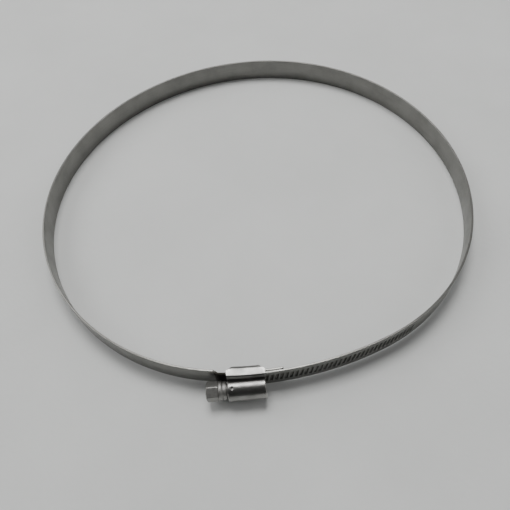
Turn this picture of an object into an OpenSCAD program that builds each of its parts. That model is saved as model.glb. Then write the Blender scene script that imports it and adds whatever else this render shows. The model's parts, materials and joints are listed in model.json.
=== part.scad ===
// Worm-drive hose clamp with a 12 mm band, stored almost fully open.
// +Z is the hose's axis, the origin is on it at half the band's width,
// and the screw runs along X with its head towards -X.

/* [Band] */
// Width of the band
band_w = 12; // [11:0.25:12]
// Thickness of the band
band_t = 0.9; // [0.8:0.05:0.9]
// Radius of the springy part of the ring, before its lobes
ring_r = 95; // [90:0.5:98]
// How far the ring's lobes change its radius, as a share of it
lobe = 0.045; // [0:0.005:0.08]
// Radius of the grooved stretch, which slides along itself
tail_r = 150; // [145:1:160]
// Length of the grooved stretch to the right of the housing's middle
tail_len = 60; // [56:1:64]
// Heading of the band where its right-hand flexing part starts
flex_start = 72.5; // [70:0.5:80]
// Heading of the band where its left-hand flexing part ends
flex_end = 288.5; // [286:0.5:294]
// Number of flexing links on each side
side_links = 6; // [4:1:6]

/* [Worm drive] */
// Travel of the band for one turn of the screw
pitch = 2; // [1.8:0.05:2]
// Number of grooves to the right of the housing's middle
grooves_right = 36; // [28:1:37]
// Number of grooves to the left of the housing's middle
grooves_left = 3; // [2:1:3]
// Depth of a groove
groove_depth = 0.6; // [0.55:0.05:0.65]
// Width of a groove along the band
groove_w = 1.2; // [1.15:0.05:1.3]
// Length of a groove across the band
groove_h = 6.2; // [5:0.1:7.6]

/* [Housing] */
// Length of the housing along the screw
house_len = 15; // [14.5:0.25:16]
// Thickness of the housing's sheet
sheet_t = 0.8; // [0.7:0.05:0.85]
// Outer radius of the round barrel
barrel_r = 4.5; // [4.4:0.05:4.6]
// Width of the folded wing behind the band
wing_w = 3.35; // [2.5:0.05:3.8]
// Length of the cut corners of the wings
wing_cut = 2.5; // [1.5:0.1:2.5]
// Length of the band's tongue beyond the housing
tongue_len = 7.1; // [4:0.1:7.2]
// Length of the narrow neck of the band before the housing
neck_len = 5; // [4:0.25:5.5]
// Width of that neck
neck_w = 9.8; // [8:0.2:10]

/* [Screw] */
// Width of the hexagon across its flats
hex_af = 7; // [6:0.5:7]
// Length of the hexagon
hex_len = 4.8; // [4:0.2:6]
// Largest radius of the collar
collar_r = 3.8; // [3.6:0.05:3.85]
// Length of the collar
collar_len = 3.3; // [2.5:0.1:3.5]
// Outer radius of the worm's thread
worm_r = 3.6; // [3.55:0.01:3.65]
// Radius of the screw between the threads and in its bearings
core_r = 2.62; // [2.5:0.01:2.65]

/* [Hidden] */

steel = [0.62, 0.62, 0.60];
dark_steel = [0.46, 0.46, 0.45];

// The housing's middle: left of the hose's axis, and in front of it.
house_x = -11;
seat_y = 96.5;
// The band comes nearest to the screw this far right of the housing's middle, and falls away
// from it towards the screw's head, which so clears the free end.
lean = 2 * pitch;
tail_c = [house_x + lean, tail_r - seat_y];
function sag(x) = tail_r - sqrt(tail_r * tail_r - (x - lean) * (x - lean));

// Layers in the housing, from the tail's inner face: the fixed end lies under the tail
// with a running gap, and the ring's other end lies one wing deeper still.
run_gap = 0.1;
layer_in = band_t + run_gap;
joggle = layer_in + sheet_t - run_gap;
side_gap = 0.15;

// Worm drive
groove_floor_gap = 0.15;
axis_out = band_t - groove_depth + groove_floor_gap + worm_r;
mesh_r = tail_r + band_t - (groove_depth - groove_floor_gap) / 2;
slant = atan(pitch / (2 * PI * (worm_r - groove_depth / 2)));
bore_r = worm_r + 0.15;
lip_r = core_r + 0.08;
lip_len = 0.8;
head_gap = 0.55;

// Headings, in degrees, of the band's joints from the tail's tip round to the housing again.
tail_back = 7.4;
tail_tip = -(tail_back + lean) / tail_r * 180 / PI;
tail_end = (tail_len - lean) / tail_r * 180 / PI;
link_turn = (flex_end - flex_start) / (2 * side_links);
heads = concat(
    [tail_tip, tail_end],
    [for (k = [0:2 * side_links]) flex_start + k * link_turn],
    [360 + tail_tip]
);
last = len(heads) - 2;
tip_gap = 0.1;

function sum(list, i = 0) = i < len(list) ? list[i] + sum(list, i + 1) : 0 * list[0];
// From an arc's centre to its point where the heading is a, for a radius of 1.
function out(a) = [sin(a), -cos(a)];
function mid(i) = (heads[i] + heads[i + 1]) / 2;
function step(i) = out(heads[i + 1]) - out(heads[i]);
function free_r(i) = i == 0 ? tail_r : ring_r * (1 - lobe * sin(3 * mid(i)));

// Two shares of a first harmonic close the ring: its end meets the tail's tip, one joggle inside it.
open_by = -joggle * out(tail_tip) - sum([for (i = [0:last]) free_r(i) * step(i)]);
by_cos = sum([for (i = [1:last]) cos(mid(i)) * step(i)]);
by_sin = sum([for (i = [1:last]) sin(mid(i)) * step(i)]);
det = by_cos.x * by_sin.y - by_sin.x * by_cos.y;
share_cos = (open_by.x * by_sin.y - by_sin.x * open_by.y) / det;
share_sin = (by_cos.x * open_by.y - open_by.x * by_cos.y) / det;

// Radius of the band's inner face, start point and centre of arc i.
function arc_r(i) = free_r(i) + (i == 0 ? 0 : share_cos * cos(mid(i)) + share_sin * sin(mid(i)));
function arc_start(i) =
    i == 0 ? tail_c + tail_r * out(tail_tip) : arc_start(i - 1) + arc_r(i - 1) * step(i - 1);
function arc_c(i) = arc_start(i) - arc_r(i) * out(heads[i]);

fine = 96;

// A stretch of band: inner radius r about centre c, between two headings.
module band_arc(c, r, from, to, w = band_w, t = band_t) {
    translate([c.x, c.y, 0])
    rotate([0, 0, from - 90])
    rotate_extrude(angle = to - from, $fn = 360)
    translate([r, -w / 2]) square([t, w]);
}

// The local frame of the housing: x along the screw, y inwards from the tail's inner face.
module at_housing() {
    translate([house_x, -seat_y, 0]) children();
}

// The saddle's section, in (radius, z) about the tail's centre.
module saddle_section() {
    fold_r = 1.3;
    r0 = tail_r - saddle_in;
    r1 = tail_r + saddle_out;
    translate([r0 + fold_r, -saddle_half_w]) square([r1 - r0 - 2 * fold_r, 2 * saddle_half_w]);
    translate([r0, fold_r - saddle_half_w]) square([r1 - r0, 2 * (saddle_half_w - fold_r)]);
    for (x = [r0 + fold_r, r1 - fold_r], s = [-1, 1])
        translate([x, s * (saddle_half_w - fold_r)]) circle(fold_r, $fn = 32);
}

// Sweeps children, given in (radius, z), along the tail's arc, a little past both of the housing's ends.
module along_tail() {
    past = house_len / 2 + 2;
    from = asin((-past - lean) / tail_r);
    to = asin((past - lean) / tail_r);
    translate([lean, tail_r, 0]) rotate([0, 0, from - 90])
        rotate_extrude(angle = to - from, $fn = 360) children();
}

module on_screw_axis() {
    translate([0, -axis_out, 0]) rotate([0, 90, 0]) children();
}

// The wings are folded wing_gap clear of the lining, and cut back to cut_depth at the housing's ends.
wing_gap = 1.15;
channel_in = layer_in + wing_gap;
channel_out = band_t + run_gap;
channel_half_w = band_w / 2 + side_gap;
saddle_in = channel_in + sheet_t;
saddle_out = channel_out + sheet_t;
saddle_half_w = channel_half_w + sheet_t;
cut_depth = 1.95;

// One pressed sheet: a saddle wrapped round both edges of the band, and the screw's barrel.
module housing() {
    edge = 0.3;
    color(steel) at_housing() difference() {
        union() {
            intersection() {
                along_tail() saddle_section();
                cube([house_len, 4 * saddle_half_w, 4 * saddle_half_w], center = true);
            }
            on_screw_axis() rotate_extrude($fn = fine) polygon([
                [0, -house_len / 2], [barrel_r - edge, -house_len / 2],
                [barrel_r, -house_len / 2 + edge], [barrel_r, house_len / 2 - edge],
                [barrel_r - edge, house_len / 2], [0, house_len / 2]
            ]);
        }
        // The screw's chamber and its two bearings
        on_screw_axis() cylinder(h = house_len - 2 * lip_len, r = bore_r, center = true, $fn = fine);
        on_screw_axis() cylinder(h = house_len + 2, r = lip_r, center = true, $fn = fine);
        // The curved channel for both layers of the band
        along_tail() translate([tail_r - channel_in, -channel_half_w])
            square([channel_in + channel_out, 2 * channel_half_w]);
        // The window between the two wings
        translate([-house_len, layer_in, -saddle_half_w + wing_w])
            cube([2 * house_len, 2 * saddle_in, 2 * (saddle_half_w - wing_w)]);
        // The wings' cut corners
        for (s = [-1, 1]) {
            end_x = s * house_len / 2;
            cut_x = end_x - s * wing_cut;
            cut_y = saddle_in + sag(cut_x);
            linear_extrude(4 * saddle_half_w, center = true) polygon([
                [cut_x, cut_y], [cut_x, cut_y + 1], [end_x + s, cut_y + 1],
                [end_x + s, sag(end_x) + saddle_in - cut_depth - 1],
                [end_x, sag(end_x) + saddle_in - cut_depth]
            ]);
        }
    }
}

// The worm reaches this far each way from the housing's middle. Its thread is foot_half wide each
// way at its foot, each flank leans in by flank_in, and it grows to its full height over half a turn.
thread_half = 6;
thread_sides = 24;
foot_half = 0.62;
flank_in = 0.37;
sunk = 0.2;
run_out = 0.1;

// One cross-section of the thread at angle a, with its crest facing the band where z is a whole pitch.
function thread_ring(a, rise) =
    let (
        z = pitch * (a - 90) / 360,
        foot = core_r - sunk,
        crest = foot + (worm_r - foot) * rise,
        half = foot_half - flank_in * rise
    )
    [for (p = [[foot, -foot_half], [crest, -half], [crest, half], [foot, foot_half]])
        [p.x * cos(a), p.x * sin(a), z + p.y]];

module thread() {
    first = round((-thread_half / pitch * 360 + 90) * thread_sides / 360);
    count = round(2 * thread_half / pitch * thread_sides);
    function rise(i) = min(1, run_out + min(i, count - i) / (thread_sides / 2));
    points = [for (i = [0:count]) each thread_ring((first + i) * 360 / thread_sides, rise(i))];
    sides = [for (i = [0:count - 1]) for (j = [0:3])
        let (a = 4 * i + j, b = 4 * i + (j + 1) % 4) each [[a, b, b + 4], [a, b + 4, a + 4]]];
    start = [[3, 2, 1], [3, 1, 0]];
    end = [for (f = [[0, 1, 2], [0, 2, 3]]) [for (k = f) k + 4 * count]];
    polyhedron(points, concat(sides, start, end));
}

// The collar, tapered towards the barrel, on a spigot that is a little narrower than the hexagon.
module collar() {
    spigot_r = hex_af / 2 - 0.1;
    spigot_len = 0.2;
    bevel = 0.5;
    small_r = collar_r - 0.25;
    rotate_extrude($fn = fine) polygon([
        [0, -spigot_len], [spigot_r, -spigot_len], [spigot_r, 0], [collar_r - bevel, bevel / 2],
        [collar_r, bevel], [small_r, collar_len - bevel], [small_r - bevel, collar_len], [0, collar_len]
    ]);
}

// The hexagon, chamfered at its free end and sloping down to the collar at the other.
module hexagon() {
    turned_by = -4.5;
    outer_r = hex_af / 2 + 0.6;
    face_r = hex_af / 2 - 0.4;
    chamfer_len = 0.7;
    slope_len = 1.9;
    intersection() {
        rotate([0, 0, turned_by]) cylinder(h = hex_len, d = hex_af / cos(30), $fn = 6);
        rotate_extrude($fn = fine) polygon([
            [0, 0], [face_r, 0], [outer_r, chamfer_len], [outer_r, hex_len - slope_len],
            [collar_r + 0.05, hex_len], [0, hex_len]
        ]);
    }
}

// One piece: hexagon, collar, neck and right-hand worm with a journal at its end.
module worm_screw() {
    collar_end = -house_len / 2 - head_gap;
    hex_end = collar_end - collar_len;
    tip = house_len / 2 - 0.1;
    color(dark_steel) at_housing() on_screw_axis() {
        translate([0, 0, collar_end]) cylinder(h = tip - collar_end, r = core_r, $fn = fine);
        thread();
        translate([0, 0, hex_end]) collar();
        translate([0, 0, hex_end - hex_len]) hexagon();
    }
}

// The strip's fixed end: ring, joggled narrow neck, lining under the worm, and inner tongue.
module band_fixed_end() {
    c = arc_c(last);
    r = arc_r(last);
    neck_head = heads[last + 1] - neck_len / r * 180 / PI;
    lining_r = tail_r - layer_in;
    lining_w = band_w - 0.2;
    // The joggle is this long, and its bends overlap the arcs by root, a little inside their faces
    ramp = 1.2;
    root = 0.3;
    shy = 0.03;
    neck_x = -house_len / 2 - neck_len + ramp;
    wide_x = -house_len / 2 + 1;
    tongue_x = house_len / 2 + tongue_len;
    // A point of a bend, on the inner face (side 0) or the outer face (side 1)
    function bend(centre, radius, a, side) =
        centre + (radius + shy + side * (band_t - 2 * shy)) * out(a);
    function lining_head(x) = asin((x - lean) / lining_r);
    function lining(x, side) = bend(tail_c, lining_r, lining_head(x), side);
    function ring(a, side) = bend(c, r, a, side);
    color(steel) {
        band_arc(c, r, heads[last], neck_head);
        // Joggle down to the lining, one wing further out
        linear_extrude(neck_w, center = true) polygon([
            ring(neck_head - root, 0), ring(neck_head, 0), lining(neck_x, 0), lining(neck_x + root, 0),
            lining(neck_x + root, 1), lining(neck_x, 1), ring(neck_head, 1), ring(neck_head - root, 1)
        ]);
        // Lining and tongue, narrow until they are inside the housing
        difference() {
            band_arc(tail_c, lining_r, lining_head(neck_x), lining_head(tongue_x), lining_w);
            at_housing() for (s = [-1, 1])
                translate([wide_x - house_len, 0, s * (neck_w / 2 + band_w)])
                cube([2 * house_len, 8 * band_t, 2 * band_w], center = true);
        }
    }
}

// The strip's free end: slides along its own arc through the housing, then runs on plain.
module band_threaded_end() {
    // Side of the square bars that crop the tip's two corners, and their length through the band
    tip_cut = 2.5;
    bar = 8;
    // The grooves' rolling leaves the grooved stretch this much proud of the plain one on every face.
    proud = 0.02;
    // How far, in degrees, the plain stretch is rooted in the grooved one
    root = 0.15;
    color(steel) difference() {
        union() {
            band_arc(tail_c, tail_r, tail_tip, tail_end);
            band_arc(arc_c(1), arc_r(1) + proud, heads[1] - root, heads[2],
                band_w - 2 * proud, band_t - 2 * proud);
        }
        for (n = [-grooves_left:grooves_right]) groove((n * pitch - lean) * tail_r / mesh_r);
        for (s = [-1, 1])
            translate([tail_c.x, tail_c.y, 0]) rotate([0, 0, tail_tip])
                translate([0, -tail_r, s * band_w / 2]) rotate([0, 45, 0])
                cube([tip_cut, bar, tip_cut], center = true);
    }
}

// Cutter for one groove, at a length along the inner face from the tail's nearest point to the screw.
module groove(along) {
    beyond = along - (tail_len - lean);
    on_tail = beyond < 0;
    centre = on_tail ? tail_c : arc_c(1);
    r = on_tail ? tail_r : arc_r(1);
    head = on_tail ? along / r * 180 / PI : tail_end + beyond / r * 180 / PI;
    cutter_t = 2;
    translate([centre.x, centre.y, 0]) rotate([0, 0, head])
        translate([0, -r - band_t + groove_depth - cutter_t / 2, 0]) rotate([0, slant, 0])
        cube([groove_w, cutter_t, groove_h], center = true);
}

// One flexing link, trimmed where the strip is opened at the back of the ring.
module band_link(i) {
    trim = tip_gap / 2 / arc_r(i) * 180 / PI;
    from = heads[i] + (i == side_links + 2 ? trim : 0);
    to = heads[i + 1] - (i == side_links + 1 ? trim : 0);
    color(steel) band_arc(arc_c(i), arc_r(i), from, to);
}

housing();
worm_screw();
band_fixed_end();
band_threaded_end();
for (k = [1:side_links]) {
    band_link(k + 1);
    band_link(last - k);
}
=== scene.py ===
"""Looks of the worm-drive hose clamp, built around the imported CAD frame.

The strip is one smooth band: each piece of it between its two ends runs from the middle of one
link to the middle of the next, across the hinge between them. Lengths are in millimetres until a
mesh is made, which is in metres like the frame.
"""

import json
import math

import bmesh
import bpy
import numpy as np
from mathutils import Matrix, Vector


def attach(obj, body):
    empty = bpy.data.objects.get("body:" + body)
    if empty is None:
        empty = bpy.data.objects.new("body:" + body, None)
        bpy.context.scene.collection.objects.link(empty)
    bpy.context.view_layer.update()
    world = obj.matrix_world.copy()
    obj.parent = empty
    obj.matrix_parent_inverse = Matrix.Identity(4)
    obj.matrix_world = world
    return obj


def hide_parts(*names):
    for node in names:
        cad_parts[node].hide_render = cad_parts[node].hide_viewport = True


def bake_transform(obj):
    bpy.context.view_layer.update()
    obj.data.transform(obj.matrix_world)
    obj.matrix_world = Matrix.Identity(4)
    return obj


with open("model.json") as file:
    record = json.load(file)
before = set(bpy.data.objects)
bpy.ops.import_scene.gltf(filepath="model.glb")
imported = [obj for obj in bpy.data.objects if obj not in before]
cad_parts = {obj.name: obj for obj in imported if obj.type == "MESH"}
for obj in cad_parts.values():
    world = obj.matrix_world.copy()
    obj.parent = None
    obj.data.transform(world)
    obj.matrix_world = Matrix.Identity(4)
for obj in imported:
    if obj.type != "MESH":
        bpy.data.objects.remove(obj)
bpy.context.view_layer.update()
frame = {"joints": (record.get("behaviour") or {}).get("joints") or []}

MM = 0.001
JOINTS = {j["name"]: j for j in frame["joints"]}


def joint_xy(name):
    """A joint's place in the XY plane, in mm."""
    return np.array(JOINTS[name]["pos_m"][:2]) / MM


# Driving dimensions, the same as the CAD's
BAND_W, BAND_T = 12.0, 0.9
RING_R, LOBE = 95.0, 0.045
TAIL_R, TAIL_LEN, TAIL_BACK = 150.0, 60.0, 7.4
FLEX_START, FLEX_END, SIDE_LINKS = 72.5, 288.5, 6
PITCH, GROOVES_RIGHT, GROOVES_LEFT = 2.0, 36, 3
GROOVE_DEPTH, GROOVE_W, GROOVE_H, GROOVE_FLOOR_GAP = 0.6, 1.2, 6.2, 0.15
HOUSE_LEN, SHEET_T, BARREL_R = 15.0, 0.8, 4.5
WING_W, WING_CUT, CUT_DEPTH = 3.35, 2.5, 1.95
TONGUE_LEN, NECK_LEN, NECK_W, TIP_CUT = 7.1, 5.0, 9.8, 2.5
HEX_AF, HEX_LEN, HEX_TURN = 7.0, 4.8, math.radians(25.5)
COLLAR_R, COLLAR_LEN, HEAD_GAP = 3.8, 3.3, 0.55
WORM_R, CORE_R = 3.6, 2.62
RUN_GAP, SIDE_GAP, WING_GAP = 0.1, 0.15, 1.15
LAYER_IN = BAND_T + RUN_GAP
JOGGLE = LAYER_IN + SHEET_T - RUN_GAP
LEAN = 2 * PITCH
LINING_W = BAND_W - 0.2

TAIL_C = joint_xy("band_feed")
HOUSE_X, AXIS_Y = joint_xy("screw_turn")
SEAT_Y = TAIL_R - TAIL_C[1]
AXIS_OUT = -AXIS_Y - SEAT_Y


# ---------------------------------------------------------------- the band's line

def out(a):
    """Unit vector from an arc's centre to its point of heading a, in radians."""
    return np.array([math.sin(a), -math.cos(a)])


LINK_TURN = math.radians(FLEX_END - FLEX_START) / (2 * SIDE_LINKS)
TAIL_TIP = -(TAIL_BACK + LEAN) / TAIL_R
TAIL_END = (TAIL_LEN - LEAN) / TAIL_R
HEADS = np.array(
    [TAIL_TIP, TAIL_END]
    + [math.radians(FLEX_START) + k * LINK_TURN for k in range(2 * SIDE_LINKS + 1)]
    + [2 * math.pi + TAIL_TIP]
)
ARCS = len(HEADS) - 1


def band_arcs():
    """Radius and centre of every arc of the band, tail first, closed as in the CAD."""
    mid = (HEADS[:-1] + HEADS[1:]) / 2
    steps = np.array([out(b) - out(a) for a, b in zip(HEADS[:-1], HEADS[1:])])
    radii = RING_R * (1 - LOBE * np.sin(3 * mid))
    radii[0] = TAIL_R
    open_by = -JOGGLE * out(TAIL_TIP) - (radii[:, None] * steps).sum(0)
    by_cos = (np.cos(mid)[1:, None] * steps[1:]).sum(0)
    by_sin = (np.sin(mid)[1:, None] * steps[1:]).sum(0)
    share = np.linalg.solve(np.column_stack([by_cos, by_sin]), open_by)
    radii[1:] += share[0] * np.cos(mid[1:]) + share[1] * np.sin(mid[1:])
    centres, start = [], TAIL_C + TAIL_R * out(TAIL_TIP)
    for r, a, step in zip(radii, HEADS, steps):
        centres.append(start - r * out(a))
        start = start + r * step
    return radii, np.array(centres)


RADII, CENTRES = band_arcs()
LENGTHS = np.concatenate([[0], np.cumsum(RADII * np.diff(HEADS))])


def band_point(head):
    """(inner face point, outward normal, length from the tail's tip) at a heading."""
    i = int(np.clip(np.searchsorted(HEADS, head, side="right") - 1, 0, ARCS - 1))
    normal = out(head)
    return CENTRES[i] + RADII[i] * normal, normal, LENGTHS[i] + RADII[i] * (head - HEADS[i])


def sag(x):
    """How far the tail's arc has curved in from its nearest point to the screw."""
    return TAIL_R - math.sqrt(TAIL_R**2 - (x - LEAN) ** 2)


# ---------------------------------------------------------------- meshes

def finish_mesh(name, bm, material, sharp=38.0):
    """Makes the object: cleaned, smooth but for edges sharper than the given angle."""
    bmesh.ops.remove_doubles(bm, verts=bm.verts, dist=2e-6)
    bmesh.ops.dissolve_degenerate(bm, edges=bm.edges, dist=1e-6)
    bmesh.ops.recalc_face_normals(bm, faces=bm.faces)
    mesh = bpy.data.meshes.new(name)
    bm.to_mesh(mesh)
    bm.free()
    mesh.shade_smooth()
    mesh.set_sharp_from_angle(angle=math.radians(sharp))
    mesh.materials.append(material)
    piece = bpy.data.objects.new(name, mesh)
    bpy.context.scene.collection.objects.link(piece)
    return piece


def add_loft(bm, rings, along=None, caps=True, painted_shade=None):
    """Quads between rings of points in mm. With along, UV is (along, length round the ring).
    With the last argument, each ring has a list of how much painted shade darkens its points, from 0 to 1."""
    uv = bm.loops.layers.uv.verify()
    painted_shade_amounts = bm.verts.layers.float.get("painted_shade") or bm.verts.layers.float.new("painted_shade")
    rows = [[bm.verts.new([c * MM for c in p]) for p in ring] for ring in rings]
    if painted_shade:
        for row, amounts in zip(rows, painted_shade):
            for vert, amount in zip(row, amounts):
                vert[painted_shade_amounts] = amount
    around = []
    for ring in rings:
        pts = np.array(ring)
        gaps = np.linalg.norm(np.roll(pts, -1, 0) - pts, axis=1)
        around.append(np.concatenate([[0], np.cumsum(gaps)]))
    if along is None:
        mids = np.array([np.mean(ring, axis=0) for ring in rings])
        along = np.concatenate([[0], np.cumsum(np.linalg.norm(np.diff(mids, axis=0), axis=1))])
    count = len(rings[0])
    for i in range(len(rings) - 1):
        for k in range(count):
            j = (k + 1) % count
            face = bm.faces.new([rows[i][k], rows[i][j], rows[i + 1][j], rows[i + 1][k]])
            places = [(i, k), (i, k + 1), (i + 1, k + 1), (i + 1, k)]
            for loop, (a, b) in zip(face.loops, places):
                loop[uv].uv = (along[a] * MM, around[a][b] * MM)
    if caps:
        bm.faces.new(rows[0][::-1])
        bm.faces.new(rows[-1])
    return rows


# Points round each corner of a section, and where the points of its outer face begin
CORNER_POINTS = 4
OUTER_FACE_AT = 3 * CORNER_POINTS


def strip_section(width, thick, edge=0.2, inset=0.0, outer_z=()):
    """Section of a strip as (outward, z) points, its slit edges rounded; outer_z adds points
    across the outer face."""
    half, lo, hi = width / 2 - inset, inset, thick - inset
    e = min(edge, (hi - lo) / 2 - 0.01)
    corners = [(lo + e, half - e, 90), (lo + e, e - half, 180),
               (hi - e, e - half, 270), (hi - e, half - e, 0)]
    points = []
    for o, z, start in corners:
        for k in range(CORNER_POINTS):
            a = math.radians(start + 90 / (CORNER_POINTS - 1) * k)
            points.append((o + e * math.cos(a), z + e * math.sin(a)))
        if len(points) == OUTER_FACE_AT:
            points += [(hi, v) for v in outer_z]
    return points


def place(section, point, normal):
    """Points of a section at a place on the band's line."""
    return [(*(point + o * normal), z) for o, z in section]


# How the strip's ends are rounded: (distance from the end, inset of the section)
END_ROUND = ((0.0, 0.16), (0.03, 0.08), (0.09, 0.02), (0.18, 0.0))

# Degrees between two rings of points along the band
RING_STEP = 0.4


def plain_band(name, head0, head1, material):
    """The strip from one heading to another."""
    count = max(8, round(math.degrees(head1 - head0) / RING_STEP))
    rings, along = [], []
    for head in np.linspace(head0, head1, count + 1):
        point, normal, length = band_point(head)
        rings.append(place(strip_section(BAND_W, BAND_T), point, normal))
        along.append(length)
    bm = bmesh.new()
    add_loft(bm, rings, along)
    return finish_mesh(name, bm, material)


# ---------------------------------------------------------------- materials

def node_material(name):
    """(material, node tree, its Principled shader)"""
    mat = bpy.data.materials.new(name)
    mat.use_nodes = True
    tree = mat.node_tree
    return mat, tree, tree.nodes["Principled BSDF"]


def add_node(tree, kind, inputs=(), **settings):
    """A node with its settings, and the values of its unlinked inputs."""
    node = tree.nodes.new(kind)
    for key, value in settings.items():
        setattr(node, key, value)
    for key, value in dict(inputs).items():
        node.inputs[key].default_value = value
    return node


def ramp(tree, source, stops):
    """Colour ramp from (position, grey or colour) stops."""
    node = tree.nodes.new("ShaderNodeValToRGB")
    elements = node.color_ramp.elements
    while len(elements) < len(stops):
        elements.new(0.5)
    for element, (position, value) in zip(elements, stops):
        element.position = position
        element.color = (*value, 1) if isinstance(value, tuple) else (value, value, value, 1)
    tree.links.new(source, node.inputs["Fac"])
    return node.outputs["Color"]


def mixed(tree, kind, factor, a, b):
    """Two colours mixed, with the given blend type."""
    node = tree.nodes.new("ShaderNodeMix")
    node.data_type = "RGBA"
    node.blend_type = kind
    node.inputs["Factor"].default_value = factor
    tree.links.new(a, node.inputs["A"])
    tree.links.new(b, node.inputs["B"])
    return node.outputs["Result"]


def steel(name, tone, rough, brushed, coordinates, stretch, grainy=0.0, wear=0.35, stain=0.25):
    """Stainless steel: fine brushing, slight stains, worn edges, and painted shade, darker and rougher,
    where the mesh's points carry it.
    """
    mat, tree, bsdf = node_material(name)
    links = tree.links
    bsdf.inputs["Metallic"].default_value = 1.0
    if grainy:
        # The brushing runs along the band, so highlights spread across it
        tangent = add_node(tree, "ShaderNodeTangent", direction_type="UV_MAP")
        links.new(tangent.outputs["Tangent"], bsdf.inputs["Tangent"])
        bsdf.inputs["Anisotropic"].default_value = grainy
        bsdf.inputs["Anisotropic Rotation"].default_value = 0.25
    where = tree.nodes.new("ShaderNodeTexCoord").outputs[coordinates]
    lines = add_node(tree, "ShaderNodeMapping", {"Scale": stretch})
    links.new(where, lines.inputs["Vector"])
    fine = add_node(tree, "ShaderNodeTexNoise", {"Scale": 1.0, "Detail": 4.0, "Roughness": 0.65})
    links.new(lines.outputs["Vector"], fine.inputs["Vector"])
    body = tree.nodes.new("ShaderNodeTexCoord").outputs["Object"]
    broad = add_node(tree, "ShaderNodeTexNoise", {"Scale": 110.0, "Detail": 5.0, "Roughness": 0.6})
    links.new(body, broad.inputs["Vector"])
    spots = add_node(tree, "ShaderNodeTexNoise", {"Scale": 900.0, "Detail": 3.0, "Roughness": 0.5})
    links.new(body, spots.inputs["Vector"])

    dark = tuple(c * (1 - stain) for c in tone)
    light = tuple(min(1, c * (1 + stain * 0.6)) for c in tone)
    base = ramp(tree, broad.outputs["Fac"], [(0.3, dark), (0.52, tone), (0.75, light)])
    streak = ramp(tree, fine.outputs["Fac"], [(0.3, 0.78), (0.7, 1.0)])
    colour = mixed(tree, "MULTIPLY", 0.8, base, streak)
    specks = ramp(tree, spots.outputs["Fac"], [(0.27, 0.6), (0.36, 1.0)])
    colour = mixed(tree, "MULTIPLY", stain, colour, specks)
    edges = tree.nodes.new("ShaderNodeNewGeometry").outputs["Pointiness"]
    worn = ramp(tree, edges, [(0.52, 0.0), (0.6, wear)])
    # Painted shade from the mesh's attribute: the colour goes towards near black and the surface gets
    # rougher
    painted_shade = add_node(tree, "ShaderNodeAttribute", attribute_name="painted_shade").outputs["Fac"]
    brighter = tree.nodes.new("ShaderNodeMix")
    brighter.data_type = "RGBA"
    links.new(worn, brighter.inputs["Factor"])
    links.new(colour, brighter.inputs["A"])
    brighter.inputs["B"].default_value = (*[min(1, c * 1.7) for c in tone], 1)
    painted_shade_colour = ramp(tree, painted_shade, [(0.0, 1.0), (1.0, (0.16, 0.15, 0.14))])
    links.new(mixed(tree, "MULTIPLY", 1.0, brighter.outputs["Result"], painted_shade_colour), bsdf.inputs["Base Color"])

    lo, hi = rough
    uneven = ramp(tree, broad.outputs["Fac"], [(0.3, hi), (0.7, lo)])
    grain = ramp(tree, fine.outputs["Fac"], [(0.25, 0.86), (0.75, 1.0)])
    clean = mixed(tree, "MULTIPLY", 1.0, uneven, grain)
    matt = ramp(tree, painted_shade, [(0.0, 0.0), (1.0, 0.25)])
    links.new(mixed(tree, "ADD", 1.0, clean, matt), bsdf.inputs["Roughness"])

    bump = add_node(tree, "ShaderNodeBump", {"Strength": brushed, "Distance": 0.00002})
    links.new(fine.outputs["Fac"], bump.inputs["Height"])
    dents = add_node(tree, "ShaderNodeBump", {"Strength": 0.2, "Distance": 0.00006})
    links.new(spots.outputs["Fac"], dents.inputs["Height"])
    links.new(bump.outputs["Normal"], dents.inputs["Normal"])
    links.new(dents.outputs["Normal"], bsdf.inputs["Normal"])
    return mat


BAND_STEEL = steel("band_steel", (0.24, 0.238, 0.225), (0.3, 0.42), 0.5, "UV", (60, 5200, 1),
                   grainy=0.7, wear=0.0, stain=0.12)
HOUSING_STEEL = steel("housing_steel", (0.3, 0.297, 0.287), (0.28, 0.4), 0.4, "UV", (400, 2500, 1),
                      stain=0.32)
SCREW_STEEL = steel("screw_steel", (0.4, 0.395, 0.38), (0.42, 0.6), 0.7, "Object", (900, 900, 900))


# ---------------------------------------------------------------- the band's pieces

HALF_LINK = LINK_TURN / 2
FIRST_HINGE, LAST_HINGE = HEADS[2], HEADS[2 + 2 * SIDE_LINKS]
OPEN_HEAD = HEADS[2 + SIDE_LINKS]
GROOVE_SLANT = math.atan(PITCH / (2 * math.pi * (WORM_R - GROOVE_DEPTH / 2)))
MESH_R = TAIL_R + BAND_T - (GROOVE_DEPTH - GROOVE_FLOOR_GAP) / 2


def head_at(along):
    """Heading of a length along the inner face from the tail's nearest point to the screw."""
    beyond = along - (TAIL_LEN - LEAN)
    return along / TAIL_R if beyond < 0 else TAIL_END + beyond / RADII[1]


def smooth(t):
    """0 before 0, 1 after 1, and a soft step between."""
    t = min(1.0, max(0.0, t))
    return t * t * (3 - 2 * t)


def groove_depth(along, z):
    """Depth of a groove at a distance from its middle line, and at a height on the band."""
    # Widths of the slopes at its sides and at its ends
    wall, end = 0.3, 0.5
    across = smooth((GROOVE_W / 2 + wall / 2 - abs(along)) / wall)
    ends = smooth((GROOVE_H / 2 + end / 2 - abs(z)) / end)
    return GROOVE_DEPTH * across * ends


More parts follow.
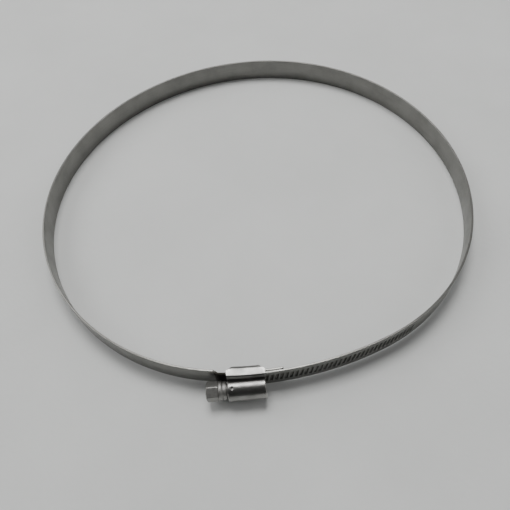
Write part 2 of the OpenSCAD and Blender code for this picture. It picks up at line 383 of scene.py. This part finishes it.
def grooved_band():
    """The free end: cropped tip, rolled slanting grooves, then plain strip."""
    crop = TIP_CUT / math.sqrt(2)
    # Heights of the points across the outer face: close together where the grooves end
    across = (-5.4, -4.6, -3.45, -3.275, -3.15, -3.03, -2.9, -2.5, -1.5, 0)
    outer_z = across + tuple(-z for z in across[-2::-1])
    # Each ring's length along the inner face, and its distance from the nearest groove's middle
    tip, end = TAIL_TIP * TAIL_R, LENGTHS[1] + TAIL_TIP * TAIL_R
    end += (FIRST_HINGE - HALF_LINK - TAIL_END) * RADII[1]
    stations = [(tip + d, None, inset) for d, inset in END_ROUND]
    shrink = TAIL_R / MESH_R
    # Rings across one groove: close together at its walls
    offsets = (-0.9, -0.72, -0.65, -0.58, -0.5, -0.25, 0, 0.25, 0.5, 0.58, 0.65, 0.72, 0.9)
    for n in range(-GROOVES_LEFT, GROOVES_RIGHT + 1):
        stations += [((n * PITCH - LEAN + d) * shrink, d, 0) for d in offsets]
    stations += [(s, None, 0) for s in np.linspace(stations[-1][0] + 0.7, end, 30)]
    # Painted shade in the grooves: darker the deeper the groove, fullest by the housing and gone 30 mm
    # along the band
    edge_room, most_groove_shade, groove_shade_len = 0.25, 0.7, 30
    rings, lengths, painted_shade = [], [], []
    for along, off, inset in stations:
        length = along - tip
        narrow = max(0.0, crop - length)
        groove_shade = most_groove_shade * smooth(1 - along / groove_shade_len)
        section = strip_section(BAND_W - 2 * narrow, BAND_T, inset=inset, outer_z=outer_z)
        limit = BAND_W / 2 - narrow - edge_room
        ring, painted_shade_amounts = [], []
        for k, (o, z) in enumerate(section):
            depth = 0.0
            on_face = OUTER_FACE_AT <= k < OUTER_FACE_AT + len(outer_z)
            if on_face:
                z = max(-limit, min(limit, z))
            shear = 0.0
            if on_face and off is not None:
                # Rings slant with the grooves, and are straight again at the band's edges
                fade = smooth((5.2 - abs(z)) / 1.2)
                shear = z * math.tan(GROOVE_SLANT) * fade
                depth = groove_depth(off, z)
            point, normal, _ = band_point(head_at(along + shear))
            ring.append((*(point + (o - depth) * normal), z))
            painted_shade_amounts.append(groove_shade * depth / GROOVE_DEPTH)
        rings.append(ring)
        lengths.append(length)
        painted_shade.append(painted_shade_amounts)
    bm = bmesh.new()
    add_loft(bm, rings, lengths, painted_shade=painted_shade)
    return finish_mesh("band_grooved_end", bm, BAND_STEEL, 42)


def fixed_band():
    """The fixed end: strip, stamped narrow neck, joggle, lining under the worm and tongue."""
    start = LAST_HINGE + HALF_LINK
    neck_head = HEADS[-1] - NECK_LEN / RADII[-1]
    lining_r = TAIL_R - LAYER_IN
    half = HOUSE_LEN / 2
    base = np.array([HOUSE_X, -SEAT_Y])

    def lining_y(x):
        return TAIL_R - math.sqrt(lining_r**2 - (x - LEAN) ** 2)

    def ring_y(x):
        dx = HOUSE_X + x - CENTRES[-1][0]
        return CENTRES[-1][1] - math.sqrt(RADII[-1] ** 2 - dx * dx) + SEAT_Y

    neck_x = band_point(neck_head)[0][0] - HOUSE_X
    ramp_end = neck_x + 1.5
    wide_x = 1 - half
    end_x = half + TONGUE_LEN
    lip_len, lip_rise = 1.1, 0.22

    def inner_y(x):
        if x < ramp_end:
            t = smooth((x - neck_x) / (ramp_end - neck_x))
            return (1 - t) * ring_y(x) + t * lining_y(x)
        return lining_y(x) + lip_rise * max(0.0, (x - end_x + lip_len) / lip_len) ** 2

    def width(x):
        wide = smooth((x - wide_x) / 0.3)
        neck = smooth((neck_x - 0.1 - x) / 0.35)
        return NECK_W + (BAND_W - NECK_W) * neck + (LINING_W - NECK_W) * wide

    rings, along = [], []
    for head in np.arange(start, neck_head - 1.2 / RADII[-1], math.radians(RING_STEP)):
        point, normal, length = band_point(head)
        rings.append(place(strip_section(BAND_W, BAND_T), point, normal))
        along.append(length)
    xs = sorted({round(x, 3) for x in np.concatenate([
        np.arange(neck_x - 0.9, ramp_end, 0.1), np.arange(ramp_end, end_x - lip_len, 0.5),
        np.arange(wide_x, wide_x + 0.4, 0.08), np.arange(end_x - lip_len, end_x - 0.25, 0.1)])})
    ends = [(end_x - d, inset) for d, inset in END_ROUND[::-1]]
    base_length = along[-1]
    painted_shade = [[0.0] * len(ring) for ring in rings]
    for x, inset in [(x, 0.0) for x in xs] + ends:
        slope = (inner_y(x + 0.01) - inner_y(x - 0.01)) / 0.02
        normal = np.array([slope, -1.0]) / math.hypot(slope, 1)
        point = base + np.array([x, inner_y(x)])
        rings.append(place(strip_section(width(x), BAND_T, inset=inset), point, normal))
        base_length += np.linalg.norm(np.mean(rings[-1], 0) - np.mean(rings[-2], 0))
        along.append(base_length)
        # Painted shade: full on the neck beside the screw's head, 0.3 on the lining inside the housing,
        # none on the tongue
        inside = smooth((x - neck_x + 0.6) / 1.2) * smooth((half - x) / 1.5)
        painted_shade.append([inside * (0.3 + 0.7 * smooth((wide_x - x) / 2))] * len(rings[-1]))
    bm = bmesh.new()
    add_loft(bm, rings, along, painted_shade=painted_shade)
    return finish_mesh("band_neck_and_tongue", bm, BAND_STEEL)


def build_band():
    tail = grooved_band()
    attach(tail, "threaded_end")
    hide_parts("band_threaded_end")
    fixed = fixed_band()
    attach(fixed, "housing_body")
    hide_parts("band_fixed_end")
    for side, root, sign, first in (
        ("right", "threaded_end", 1, FIRST_HINGE),
        ("left", "housing_body", -1, LAST_HINGE),
    ):
        for k in range(1, SIDE_LINKS + 1):
            hinge = first + sign * (k - 1) * LINK_TURN
            near, far = hinge - sign * HALF_LINK, hinge + sign * HALF_LINK
            end = OPEN_HEAD if k == SIDE_LINKS else far
            piece = plain_band(f"band_bend_{side}_{k}", min(near, end), max(near, end), BAND_STEEL)
            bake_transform(piece)
            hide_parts(f"band_{side}_{k}")


build_band()


# ---------------------------------------------------------------- the housing

CHANNEL_HALF = BAND_W / 2 + SIDE_GAP
SADDLE_HALF = CHANNEL_HALF + SHEET_T
CHANNEL_Y, CHANNEL_OUT_Y = LAYER_IN + WING_GAP, -(BAND_T + RUN_GAP)
WING_Y, SHOULDER_Y = CHANNEL_Y + SHEET_T, CHANNEL_OUT_Y - SHEET_T
WING_TIP_Z = SADDLE_HALF - WING_W
# Radii of the saddle's bends, outside and inside the sheet: by the wing, then by the barrel
ROUND_IN, ROUND_OUT, INSIDE_IN, INSIDE_OUT = 1.5, 0.9, 0.7, 0.25
CREASE_R = 0.25
BORE_R, LIP_R, LIP_LEN = WORM_R + 0.15, CORE_R + 0.08, 0.8
HALF_HOUSE = HOUSE_LEN / 2


def arc_points(centre, radius, start, end, count):
    """(y, z) points round a centre, angles in degrees from +y towards +z."""
    angles = [math.radians(a) for a in np.linspace(start, end, count)]
    return [(centre[0] + radius * math.cos(a), centre[1] + radius * math.sin(a)) for a in angles]


def line_points(a, b, count):
    """Points between a and b, without the ends."""
    return [tuple(np.array(a) + (np.array(b) - np.array(a)) * k / (count + 1)) for k in range(1, count + 1)]


BARREL_ANGLES = np.linspace(0, 1, 41)


def crease_centre(s):
    """(y, z) centre of the crease's little round, against the shoulder and against the barrel."""
    y = SHOULDER_Y + s - CREASE_R
    return y, math.sqrt((BARREL_R + CREASE_R) ** 2 - (y + AXIS_OUT) ** 2)


def housing_outer(s):
    """Upper half of the sheet's outside, wing tip to the barrel's outermost line."""
    mid_in = (WING_Y + s - ROUND_IN, SADDLE_HALF - ROUND_IN)
    mid_out = (SHOULDER_Y + s + ROUND_OUT, SADDLE_HALF - ROUND_OUT)
    crease_y, crease_z = crease_centre(s)
    on_barrel = math.degrees(math.atan2(crease_z, crease_y + AXIS_OUT))
    points = [(WING_Y + s, WING_TIP_Z)]
    points += line_points(points[0], (WING_Y + s, mid_in[1]), 3)
    points += arc_points(mid_in, ROUND_IN, 0, 90, 9)
    points += line_points((mid_in[0], SADDLE_HALF), (mid_out[0], SADDLE_HALF), 1)
    points += arc_points(mid_out, ROUND_OUT, 90, 180, 9)
    points += line_points((SHOULDER_Y + s, mid_out[1]), (SHOULDER_Y + s, crease_z), 3)
    points += arc_points((crease_y, crease_z), CREASE_R, 0, on_barrel - 180, 4)
    angles = on_barrel + (180 - on_barrel) * BARREL_ANGLES[1:]
    for a in np.radians(angles):
        points.append((-AXIS_OUT + BARREL_R * math.cos(a), BARREL_R * math.sin(a)))
    return points


def housing_inner(s):
    """Upper half of the sheet's inside, point for point with housing_outer."""
    mid_in = (CHANNEL_Y + s - INSIDE_IN, CHANNEL_HALF - INSIDE_IN)
    mid_out = (CHANNEL_OUT_Y + s + INSIDE_OUT, CHANNEL_HALF - INSIDE_OUT)
    mouth_z = math.sqrt(BORE_R**2 - (CHANNEL_OUT_Y + s + AXIS_OUT) ** 2)
    mouth = math.degrees(math.atan2(mouth_z, CHANNEL_OUT_Y + s + AXIS_OUT))
    points = [(CHANNEL_Y + s, WING_TIP_Z)]
    points += line_points(points[0], (CHANNEL_Y + s, mid_in[1]), 3)
    points += arc_points(mid_in, INSIDE_IN, 0, 90, 9)
    points += line_points((mid_in[0], CHANNEL_HALF), (mid_out[0], CHANNEL_HALF), 1)
    points += arc_points(mid_out, INSIDE_OUT, 90, 180, 9)
    points += line_points((CHANNEL_OUT_Y + s, mid_out[1]), (CHANNEL_OUT_Y + s, mouth_z), 7)
    angles = mouth + (180 - mouth) * BARREL_ANGLES[1:]
    for a in np.radians(angles):
        points.append((-AXIS_OUT + BORE_R * math.cos(a), BORE_R * math.sin(a)))
    return points


def cut_wing(points, x):
    """Clips a half section to the wing's cut corner at x."""
    into_cut = max(0.0, abs(x) - (HALF_HOUSE - WING_CUT)) / WING_CUT
    top = WING_Y + sag(x) - CUT_DEPTH * into_cut
    gone = min(1.0, into_cut * CUT_DEPTH / SHEET_T)
    tip_z = WING_TIP_Z + (CHANNEL_HALF - WING_TIP_Z) * gone
    wing_from = CHANNEL_OUT_Y + 0.4
    return [(min(y, top), z if y < wing_from else max(z, tip_z)) for y, z in points]


# The small dimple that the press leaves on the barrel, near the screw's head
MARK_AT, MARK_DEPTH, MARK_R = (-5.75, -AXIS_OUT - 0.9, 4.4), 0.4, 0.42
MARK_RINGS = (-6.05, -5.85, -5.65, -5.45, -5.3)


def towards_axis(y, z, by):
    """The point moved that far towards the barrel's axis."""
    r = math.hypot(y + AXIS_OUT, z)
    return -AXIS_OUT + (y + AXIS_OUT) * (1 - by / r), z * (1 - by / r)


def press_mark(y, z, x):
    """The point, sunk if it is in the dimple."""
    away = math.dist((x, y, z), MARK_AT)
    return towards_axis(y, z, MARK_DEPTH * math.exp(-((away / MARK_R) ** 2)))


def housing_painted_shade(x, y, z):
    """Painted shade in the dimple, and in the crease between saddle and barrel."""
    spread = 0.5
    dimple = math.exp(-((math.dist((x, y, z), MARK_AT) / spread) ** 2))
    crease = math.exp(-((math.dist((y, abs(z)), crease_centre(sag(x))) / spread) ** 2))
    return min(1.0, 0.9 * dimple + 0.7 * crease)


def housing_half(x):
    """Upper half of the sheet's outside and inside at x, the barrel's ends turned in a little."""
    s = sag(x)
    turn_len, turn_in = 0.3, 0.22
    end = max(0.0, abs(x) - (HALF_HOUSE - turn_len)) / turn_len
    pull = turn_in * end**2
    outer = []
    for y, z in housing_outer(s):
        r = math.hypot(y + AXIS_OUT, z)
        if r < BARREL_R + 0.001 and y < SHOULDER_Y + s - 0.05:
            y, z = towards_axis(y, z, pull)
        outer.append(press_mark(y, z, x))
    return cut_wing(outer, x), cut_wing(housing_inner(s), x)


def housing_shell():
    """The pressed sheet, drawn as rings across it from one end to the other."""
    cut_x = HALF_HOUSE - WING_CUT
    wing_end = WING_CUT * SHEET_T / CUT_DEPTH
    into_cut = (0, wing_end / 3, wing_end * 2 / 3, wing_end, 1.4, 1.7, 2.0, 2.2, 2.35, 2.5)
    at_end = [cut_x + d for d in into_cut]
    between = np.round(np.arange(-cut_x, cut_x, 0.65), 3)[1:]
    xs = sorted({*[-x for x in at_end], *at_end, *between, *MARK_RINGS})
    rings, painted_shade_amounts = [], []
    for x in xs:
        outer, inner = housing_half(x)
        lower_out = [(y, -z) for y, z in outer[-2::-1]]
        lower_in = [(y, -z) for y, z in inner]
        section = outer + lower_out + lower_in + inner[-2::-1]
        rings.append([(HOUSE_X + x, -SEAT_Y + y, z) for y, z in section])
        # Painted shade in the dimple and the crease
        painted_shade_amounts.append([housing_painted_shade(x, y, z) for y, z in section])
    bm = bmesh.new()
    rows = add_loft(bm, rings, caps=False, painted_shade=painted_shade_amounts)
    count = len(rings[0]) // 2
    for row, flip in ((rows[0], False), (rows[-1], True)):
        outer, inner = row[:count], row[count:][::-1]
        for k in range(count - 1):
            face = [outer[k], outer[k + 1], inner[k + 1], inner[k]]
            bm.faces.new(face[::-1] if flip else face)
    for side in (-1, 1):
        add_bearing_lip(bm, side)
    piece = finish_mesh("housing_shell", bm, HOUSING_STEEL, 40)
    rims = piece.modifiers.new("rims", "BEVEL")
    rims.width, rims.segments = 0.09 * MM, 2
    rims.limit_method, rims.angle_limit = "ANGLE", math.radians(50)
    return piece


def add_bearing_lip(bm, side):
    """The barrel's end pressed in to a bearing for the screw."""
    outer_r, edge = BORE_R + 0.42, 0.22
    back, face = HALF_HOUSE - LIP_LEN, HALF_HOUSE - 0.01
    profile = [(back, BORE_R + 0.1), (back, LIP_R + edge), (back + edge / 3, LIP_R + edge / 3),
               (back + edge, LIP_R), (face - edge, LIP_R), (face - edge / 3, LIP_R + edge / 3),
               (face, LIP_R + edge), (face, outer_r - edge), (face - edge / 3, outer_r - edge / 3),
               (face - edge, outer_r)]
    rings = []
    for angle in np.radians(np.linspace(0, 360, 73)[:-1]):
        ring = []
        for x, r in profile:
            x *= side
            y = min(-AXIS_OUT + r * math.cos(angle), CHANNEL_OUT_Y + sag(x) - 0.05)
            ring.append((HOUSE_X + x, -SEAT_Y + y, r * math.sin(angle)))
        rings.append(ring)
    add_loft(bm, rings + rings[:1], caps=False)


def build_housing():
    shell = housing_shell()
    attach(shell, "housing_body")
    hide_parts("housing")


# ---------------------------------------------------------------- the screw

COLLAR_END = -HALF_HOUSE - HEAD_GAP
COLLAR_START = COLLAR_END - COLLAR_LEN
HEX_START = COLLAR_START - HEX_LEN


def soft_min(a, b, soft=0.12):
    """The lesser of two radii, with their corner rounded off."""
    h = max(0.0, soft - abs(a - b)) / soft
    return min(a, b) - h * h * soft / 4


def hexagon_r(angle):
    """Radius of the hexagon, its six edges a little rounded."""
    turn = (angle - HEX_TURN) % (math.pi / 3) - math.pi / 6
    flat = HEX_AF / 2 / math.cos(turn)
    beside = HEX_AF / 2 / math.cos(math.pi / 3 - abs(turn))
    return soft_min(flat, beside, 0.1)


def head_r(x, angle):
    """Radius of the head: chamfered hexagon, then a collar of two rounded beads."""
    if x < COLLAR_START:
        # Chamfers of the hexagon's outer end and of its foot
        front = HEX_AF / 2 - 0.35 + 1.5 * (x - HEX_START)
        rear = COLLAR_R + 0.05 + 0.2 * (COLLAR_START - x)
        return soft_min(soft_min(hexagon_r(angle), front), rear)
    t = (x - COLLAR_START) / COLLAR_LEN
    # Each bead's centre and half width, as shares of the collar's length, and how much lower it is
    beads = ((0.26, 0.27, 0.0), (0.76, 0.25, 0.2))
    best = COLLAR_R - 0.42
    for centre, half, lower in beads:
        u = (t - centre) / half
        if abs(u) < 1:
            best = max(best, COLLAR_R - lower - 0.55 * (1 - math.sqrt(1 - u * u)))
    return best


def thread_r(x, angle):
    """Radius of the worm: a right-hand thread whose crest faces the band at whole pitches."""
    thread_end, run_out, foot, flank = 6.2, 1.0, 0.62, 0.37
    lead_in = smooth((thread_end - abs(x)) / run_out)
    phase = (x / PITCH - angle / (2 * math.pi)) % 1.0
    off = abs(phase if phase < 0.5 else phase - 1) * PITCH
    rise = smooth((foot - off) / flank)
    return CORE_R + (WORM_R - CORE_R) * rise * lead_in


def worm_screw():
    """One turned and rolled piece, as rings of points round its axis."""
    sides = 120
    tip = HALF_HOUSE - 0.1
    stations = [(HEX_START, 0.9), (HEX_START, 0.97)]
    stations += [(x, 1) for x in np.arange(HEX_START, HEX_START + 1.0, 0.08)]
    stations += [(x, 1) for x in np.arange(HEX_START + 1.0, COLLAR_START - 1.6, 0.3)]
    stations += [(x, 1) for x in np.arange(COLLAR_START - 1.6, COLLAR_START - 0.01, 0.1)]
    stations += [(x, 1) for x in np.linspace(COLLAR_START, COLLAR_END, 34)]
    rings = []
    angles = np.linspace(0, 2 * math.pi, sides + 1)[:-1]

    def ring(x, radius):
        return [(HOUSE_X + x, AXIS_Y + radius(a) * math.cos(a), radius(a) * math.sin(a)) for a in angles]

    for x, share in stations:
        rings.append(ring(x, lambda a: share * head_r(x, a)))
    rings.append(ring(COLLAR_END, lambda a: CORE_R + 0.12))
    rings.append(ring(COLLAR_END + 0.12, lambda a: CORE_R))
    for x in np.arange(-7.0, 6.8, 0.11):
        rings.append(ring(x, lambda a: thread_r(x, a)))
    rings.append(ring(tip - 0.3, lambda a: CORE_R))
    rings.append(ring(tip - 0.06, lambda a: CORE_R - 0.14))
    rings.append(ring(tip, lambda a: CORE_R - 0.4))
    bm = bmesh.new()
    add_loft(bm, rings)
    return finish_mesh("screw_with_hex_head", bm, SCREW_STEEL, 45)


def build_screw():
    screw = worm_screw()
    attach(screw, "screw")
    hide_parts("worm_screw")


build_housing()
build_screw()


# ---------------------------------------------------------------- stage, light and camera

# The sheet touches the saddle in front and the band's edge at the back, this far apart
FLOOR_RISE, FLOOR_RUN, FLOOR_Z = 0.95, 194, -6.49


def floor_material():
    mat, tree, bsdf = node_material("pale_sheet")
    links = tree.links
    where = tree.nodes.new("ShaderNodeTexCoord").outputs["Object"]
    broad = add_node(tree, "ShaderNodeTexNoise", {"Scale": 14.0, "Detail": 5.0, "Roughness": 0.6})
    links.new(where, broad.inputs["Vector"])
    tone = ramp(tree, broad.outputs["Fac"], [(0.3, (0.70, 0.71, 0.70)), (0.7, (0.76, 0.77, 0.76))])
    links.new(tone, bsdf.inputs["Base Color"])
    bsdf.inputs["Roughness"].default_value = 0.75
    weave = add_node(tree, "ShaderNodeTexVoronoi", {"Scale": 420.0})
    links.new(where, weave.inputs["Vector"])
    bump = add_node(tree, "ShaderNodeBump", {"Strength": 0.25, "Distance": 0.0002})
    links.new(weave.outputs["Distance"], bump.inputs["Height"])
    links.new(bump.outputs["Normal"], bsdf.inputs["Normal"])
    return mat


def build_stage():
    bm = bmesh.new()
    bmesh.ops.create_grid(bm, x_segments=2, y_segments=2, size=3.0)
    mesh = bpy.data.meshes.new("floor")
    bm.to_mesh(mesh)
    bm.free()
    mesh.materials.append(floor_material())
    floor = bpy.data.objects.new("floor", mesh)
    bpy.context.scene.collection.objects.link(floor)
    floor.rotation_euler = (math.atan2(FLOOR_RISE, FLOOR_RUN), 0, 0)
    floor.location = (0, 0, FLOOR_Z * MM)


def area_light(name, place_at, aim, size, power, colour=(1, 1, 1)):
    data = bpy.data.lights.new(name, "AREA")
    data.shape = "RECTANGLE"
    data.size, data.size_y = size
    data.energy = power
    data.color = colour
    lamp = bpy.data.objects.new(name, data)
    bpy.context.scene.collection.objects.link(lamp)
    lamp.location = place_at
    lamp.rotation_euler = (Vector(aim) - Vector(place_at)).to_track_quat("-Z", "Y").to_euler()


def build_light():
    """A ceiling panel beyond the ring, soft light from both sides, and a room that darkens
    towards the viewer."""
    world = bpy.data.worlds.new("studio")
    bpy.context.scene.world = world
    world.use_nodes = True
    tree = world.node_tree
    where = tree.nodes.new("ShaderNodeTexCoord").outputs["Generated"]
    split = tree.nodes.new("ShaderNodeSeparateXYZ")
    tree.links.new(where, split.inputs["Vector"])
    back = tree.nodes["Background"]
    tone = ramp(tree, split.outputs["Y"], [(0.0, 0.05), (0.3, 0.2), (0.6, 0.36)])
    tree.links.new(tone, back.inputs["Color"])
    back.inputs["Strength"].default_value = 1.0
    area_light("ceiling", (-0.05, 0.55, 1.6), (0, 0, 0), (0.8, 0.62), 18.5, (1.0, 1.0, 0.99))
    area_light("left", (-1.4, 0.5, 1.3), (0, 0, 0), (1.8, 1.2), 14)
    area_light("right", (1.4, -0.5, 1.2), (0, 0, 0), (1.6, 1.2), 6)


def build_camera():
    """The photograph's view, from the fit of the ring's outline."""
    elevation, pan, roll = (math.radians(a) for a in (56.83, -0.47, -4.91))
    distance, lens, frame_w = 226.95, 490.3, 510
    target = Vector((4.04 + TAIL_C[0], -91.99 + TAIL_C[1], 0)) * MM
    back = Vector((math.sin(pan) * math.cos(elevation), -math.cos(pan) * math.cos(elevation),
                   math.sin(elevation)))
    right = (-back).cross(Vector((0, 0, 1))).normalized()
    up = right.cross(-back)
    right, up = (right * math.cos(roll) + up * math.sin(roll),
                 up * math.cos(roll) - right * math.sin(roll))
    data = bpy.data.cameras.new("camera")
    data.sensor_width = 36
    data.lens = lens / frame_w * data.sensor_width
    data.clip_start, data.clip_end = 0.01, 20
    camera = bpy.data.objects.new("camera", data)
    bpy.context.scene.collection.objects.link(camera)
    turn = Matrix((right, up, back)).transposed().to_4x4()
    camera.matrix_world = Matrix.Translation(target + back * distance * MM) @ turn
    bpy.context.scene.camera = camera


build_stage()
build_light()
build_camera()
